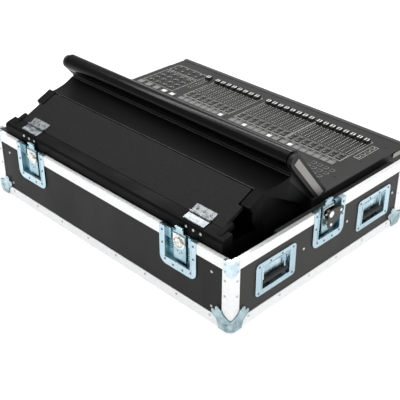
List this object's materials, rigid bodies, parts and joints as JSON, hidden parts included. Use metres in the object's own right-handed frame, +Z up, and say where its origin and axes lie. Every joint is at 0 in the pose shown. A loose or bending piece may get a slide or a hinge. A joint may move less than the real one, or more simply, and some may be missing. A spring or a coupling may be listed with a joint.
{
  "type": "lighting control desk",
  "caption": "Lighting control desk with faders, sloping bridge and top tube, standing in an open flight-case base with a hinged cable cover, latches and drop handles.",
  "frame": {"origin": "centre of the case base's underside", "axes": "+X to the operator's right along the case's length, +Y from the operator to the rear, +Z up"},
  "size_m": [0.996, 0.7804, 0.386],
  "materials": {
    "laminate": "phenolic-faced plywood, dark grey-black, fine grain",
    "aluminium": "satin anodised aluminium",
    "zinc_steel": "bright zinc plate with a pale blue cast",
    "foam": "dense black foam",
    "black_wood": "black painted plywood",
    "textured_black": "plywood with a fine textured black coating",
    "black_steel": "black powder coat",
    "panel_black": "dark grey matt paint with white print",
    "satin_black": "satin black paint",
    "silver_trim": "brushed silver strip",
    "strip_grey": "pale grey display strips",
    "key_dark": "dark rubber keys with pale legends",
    "grip_black": "black plastic grip on zinc arms",
    "cap_white": "white fader caps with a black centre"
  },
  "bodies": {
    "case_and_desk": {"base_panel": "laminate", "back_wall": "laminate", "front_wall": "laminate", "end_walls": "laminate", "rim_extrusion": "aluminium", "edge_angles": "aluminium", "corner_fittings": "zinc_steel", "case_rivets": "zinc_steel", "latch_dishes": "zinc_steel", "handle_dishes": "zinc_steel", "foam_blocks": "foam", "doghouse_frame": "black_wood", "rail_hinge_leaves": "zinc_steel", "desk_chassis": "black_steel", "control_panel": "panel_black", "wrist_roll": "satin_black", "bridge_shell": "black_steel", "bridge_cheeks": "black_steel", "bridge_tube": "satin_black", "rear_cowl": "satin_black", "cheek_trims": "silver_trim", "scribble_strips": "strip_grey", "channel_keys": "key_dark"},
    "lid": {"doghouse_lid": "textured_black", "lid_hinge_leaves": "zinc_steel"},
    "wing_1": {"latch_wing_1": "zinc_steel"},
    "wing_2": {"latch_wing_2": "zinc_steel"},
    "wing_3": {"latch_wing_3": "zinc_steel"},
    "wing_4": {"latch_wing_4": "zinc_steel"},
    "wing_5": {"latch_wing_5": "zinc_steel"},
    "wing_6": {"latch_wing_6": "zinc_steel"},
    "grip_1": {"handle_1": "grip_black"},
    "grip_2": {"handle_2": "grip_black"},
    "grip_3": {"handle_3": "grip_black"},
    "grip_4": {"handle_4": "grip_black"},
    "fader_cap_01": {"fader_01": "cap_white"},
    "fader_cap_02": {"fader_02": "cap_white"},
    "fader_cap_03": {"fader_03": "cap_white"},
    "fader_cap_04": {"fader_04": "cap_white"},
    "fader_cap_05": {"fader_05": "cap_white"},
    "fader_cap_06": {"fader_06": "cap_white"},
    "fader_cap_07": {"fader_07": "cap_white"},
    "fader_cap_08": {"fader_08": "cap_white"},
    "fader_cap_09": {"fader_09": "cap_white"},
    "fader_cap_10": {"fader_10": "cap_white"},
    "fader_cap_11": {"fader_11": "cap_white"},
    "fader_cap_12": {"fader_12": "cap_white"},
    "fader_cap_13": {"fader_13": "cap_white"},
    "fader_cap_14": {"fader_14": "cap_white"},
    "fader_cap_15": {"fader_15": "cap_white"},
    "fader_cap_16": {"fader_16": "cap_white"},
    "fader_cap_17": {"fader_17": "cap_white"},
    "fader_cap_18": {"fader_18": "cap_white"},
    "fader_cap_19": {"fader_19": "cap_white"},
    "fader_cap_20": {"fader_20": "cap_white"},
    "fader_cap_21": {"fader_21": "cap_white"},
    "fader_cap_22": {"fader_22": "cap_white"},
    "fader_cap_23": {"fader_23": "cap_white"},
    "fader_cap_24": {"fader_24": "cap_white"},
    "fader_cap_25": {"fader_25": "cap_white"}
  },
  "joints": [
    {"name": "lid_hinge", "type": "hinge", "parent": "case_and_desk", "child": "lid", "pos_m": [0, 0.31109, 0.25202], "axis": [-1, 0, 0], "range_deg": [0, 105]},
    {"name": "wing_1_turn", "type": "hinge", "parent": "case_and_desk", "child": "wing_1", "pos_m": [-0.308, 0.356, 0.183], "axis": [0, 1, 0], "range_deg": [0, 180]},
    {"name": "wing_2_turn", "type": "hinge", "parent": "case_and_desk", "child": "wing_2", "pos_m": [0.308, 0.356, 0.183], "axis": [0, 1, 0], "range_deg": [0, 180]},
    {"name": "wing_3_turn", "type": "hinge", "parent": "case_and_desk", "child": "wing_3", "pos_m": [-0.308, -0.356, 0.126], "axis": [0, -1, 0], "range_deg": [0, 180]},
    {"name": "wing_4_turn", "type": "hinge", "parent": "case_and_desk", "child": "wing_4", "pos_m": [0.308, -0.356, 0.126], "axis": [0, -1, 0], "range_deg": [0, 180]},
    {"name": "wing_5_turn", "type": "hinge", "parent": "case_and_desk", "child": "wing_5", "pos_m": [-0.486, -0.01, 0.183], "axis": [-1, 0, 0], "range_deg": [0, 180]},
    {"name": "wing_6_turn", "type": "hinge", "parent": "case_and_desk", "child": "wing_6", "pos_m": [0.486, -0.01, 0.183], "axis": [1, 0, 0], "range_deg": [0, 180]},
    {"name": "handle_1_swing", "type": "hinge", "parent": "case_and_desk", "child": "grip_1", "pos_m": [-0.481, 0.198, 0.135], "axis": [0, 1, 0], "range_deg": [0, 90], "stiffness_Nm_per_rad": 0.3, "springref_deg": -14.32},
    {"name": "handle_2_swing", "type": "hinge", "parent": "case_and_desk", "child": "grip_2", "pos_m": [-0.481, -0.214, 0.135], "axis": [0, 1, 0], "range_deg": [0, 90], "stiffness_Nm_per_rad": 0.3, "springref_deg": -14.32},
    {"name": "handle_3_swing", "type": "hinge", "parent": "case_and_desk", "child": "grip_3", "pos_m": [0.481, 0.198, 0.135], "axis": [0, -1, 0], "range_deg": [0, 90], "stiffness_Nm_per_rad": 0.3, "springref_deg": -14.32},
    {"name": "handle_4_swing", "type": "hinge", "parent": "case_and_desk", "child": "grip_4", "pos_m": [0.481, -0.214, 0.135], "axis": [0, -1, 0], "range_deg": [0, 90], "stiffness_Nm_per_rad": 0.3, "springref_deg": -14.32},
    {"name": "fader_01_slide", "type": "slide", "parent": "case_and_desk", "child": "fader_cap_01", "axis": [0, 1, 0], "range_m": [0, 0.088]},
    {"name": "fader_02_slide", "type": "slide", "parent": "case_and_desk", "child": "fader_cap_02", "axis": [0, 1, 0], "range_m": [0, 0.088]},
    {"name": "fader_03_slide", "type": "slide", "parent": "case_and_desk", "child": "fader_cap_03", "axis": [0, 1, 0], "range_m": [0, 0.088]},
    {"name": "fader_04_slide", "type": "slide", "parent": "case_and_desk", "child": "fader_cap_04", "axis": [0, 1, 0], "range_m": [0, 0.088]},
    {"name": "fader_05_slide", "type": "slide", "parent": "case_and_desk", "child": "fader_cap_05", "axis": [0, 1, 0], "range_m": [0, 0.088]},
    {"name": "fader_06_slide", "type": "slide", "parent": "case_and_desk", "child": "fader_cap_06", "axis": [0, 1, 0], "range_m": [0, 0.088]},
    {"name": "fader_07_slide", "type": "slide", "parent": "case_and_desk", "child": "fader_cap_07", "axis": [0, 1, 0], "range_m": [0, 0.088]},
    {"name": "fader_08_slide", "type": "slide", "parent": "case_and_desk", "child": "fader_cap_08", "axis": [0, 1, 0], "range_m": [0, 0.088]},
    {"name": "fader_09_slide", "type": "slide", "parent": "case_and_desk", "child": "fader_cap_09", "axis": [0, 1, 0], "range_m": [0, 0.088]},
    {"name": "fader_10_slide", "type": "slide", "parent": "case_and_desk", "child": "fader_cap_10", "axis": [0, 1, 0], "range_m": [0, 0.088]},
    {"name": "fader_11_slide", "type": "slide", "parent": "case_and_desk", "child": "fader_cap_11", "axis": [0, 1, 0], "range_m": [0, 0.088]},
    {"name": "fader_12_slide", "type": "slide", "parent": "case_and_desk", "child": "fader_cap_12", "axis": [0, 1, 0], "range_m": [0, 0.088]},
    {"name": "fader_13_slide", "type": "slide", "parent": "case_and_desk", "child": "fader_cap_13", "axis": [0, 1, 0], "range_m": [0, 0.088]},
    {"name": "fader_14_slide", "type": "slide", "parent": "case_and_desk", "child": "fader_cap_14", "axis": [0, 1, 0], "range_m": [0, 0.088]},
    {"name": "fader_15_slide", "type": "slide", "parent": "case_and_desk", "child": "fader_cap_15", "axis": [0, 1, 0], "range_m": [0, 0.088]},
    {"name": "fader_16_slide", "type": "slide", "parent": "case_and_desk", "child": "fader_cap_16", "axis": [0, 1, 0], "range_m": [0, 0.088]},
    {"name": "fader_17_slide", "type": "slide", "parent": "case_and_desk", "child": "fader_cap_17", "axis": [0, 1, 0], "range_m": [0, 0.088]},
    {"name": "fader_18_slide", "type": "slide", "parent": "case_and_desk", "child": "fader_cap_18", "axis": [0, 1, 0], "range_m": [0, 0.088]},
    {"name": "fader_19_slide", "type": "slide", "parent": "case_and_desk", "child": "fader_cap_19", "axis": [0, 1, 0], "range_m": [0, 0.088]},
    {"name": "fader_20_slide", "type": "slide", "parent": "case_and_desk", "child": "fader_cap_20", "axis": [0, 1, 0], "range_m": [0, 0.088]},
    {"name": "fader_21_slide", "type": "slide", "parent": "case_and_desk", "child": "fader_cap_21", "axis": [0, 1, 0], "range_m": [0, 0.088]},
    {"name": "fader_22_slide", "type": "slide", "parent": "case_and_desk", "child": "fader_cap_22", "axis": [0, 1, 0], "range_m": [0, 0.088]},
    {"name": "fader_23_slide", "type": "slide", "parent": "case_and_desk", "child": "fader_cap_23", "axis": [0, 1, 0], "range_m": [0, 0.088]},
    {"name": "fader_24_slide", "type": "slide", "parent": "case_and_desk", "child": "fader_cap_24", "axis": [0, 1, 0], "range_m": [0, 0.088]},
    {"name": "fader_25_slide", "type": "slide", "parent": "case_and_desk", "child": "fader_cap_25", "axis": [0, 1, 0], "range_m": [0, 0.088]}
  ]
}
